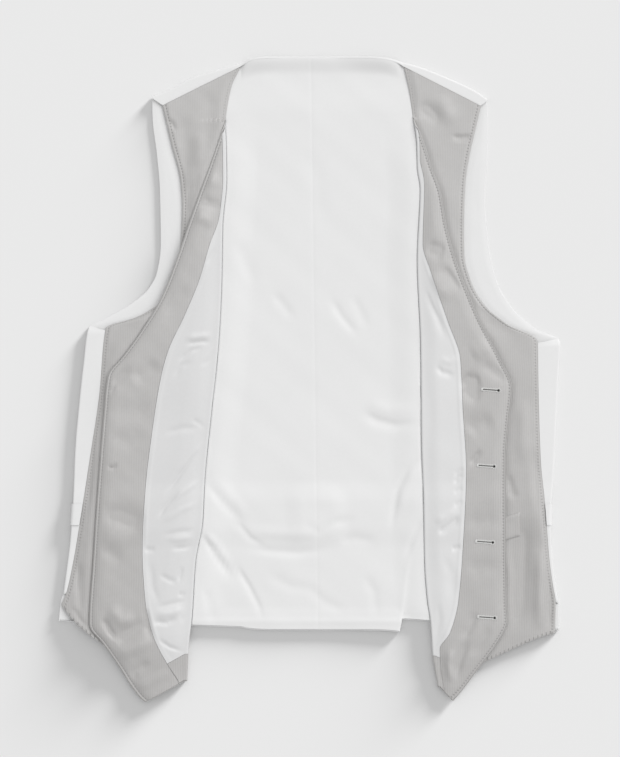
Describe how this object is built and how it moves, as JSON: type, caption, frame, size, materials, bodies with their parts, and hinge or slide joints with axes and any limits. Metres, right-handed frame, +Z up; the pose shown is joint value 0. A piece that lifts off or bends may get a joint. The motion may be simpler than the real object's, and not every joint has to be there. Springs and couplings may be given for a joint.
{
  "type": "suit waistcoat",
  "caption": "Grey suit waistcoat with a white satin back and lining, laid flat on its back with both fronts turned open.",
  "frame": {"origin": "centre of the bounding box seen from above, on the surface that the garment lies on", "axes": "+X towards the wearer's left, +Y towards the neck, +Z up from the surface"},
  "size_m": [0.516, 0.6627, 0.0132],
  "materials": {
    "grey_suiting": "fine tone-on-tone stripe, matt with a slight sheen",
    "white_satin": "satin",
    "button_plastic": "polished",
    "buckle_steel": "satin"
  },
  "bodies": {
    "root": {"back_lining_left": "white_satin", "back_lining_right": "white_satin", "back_shell_left": "white_satin", "back_shell_right": "white_satin", "back_strap_left": "white_satin", "back_strap_right": "white_satin", "button_1": "button_plastic", "button_2": "button_plastic", "button_3": "button_plastic", "button_4": "button_plastic", "front_facing_left": "grey_suiting", "front_facing_right": "grey_suiting", "front_lining_left": "white_satin", "front_lining_right": "white_satin", "front_shell_left": "grey_suiting", "front_shell_right": "grey_suiting", "hem_turnup_left": "grey_suiting", "hem_turnup_right": "grey_suiting", "pocket_welt_left": "grey_suiting", "pocket_welt_right": "grey_suiting", "strap_buckle": "buckle_steel"}
  },
  "joints": []
}
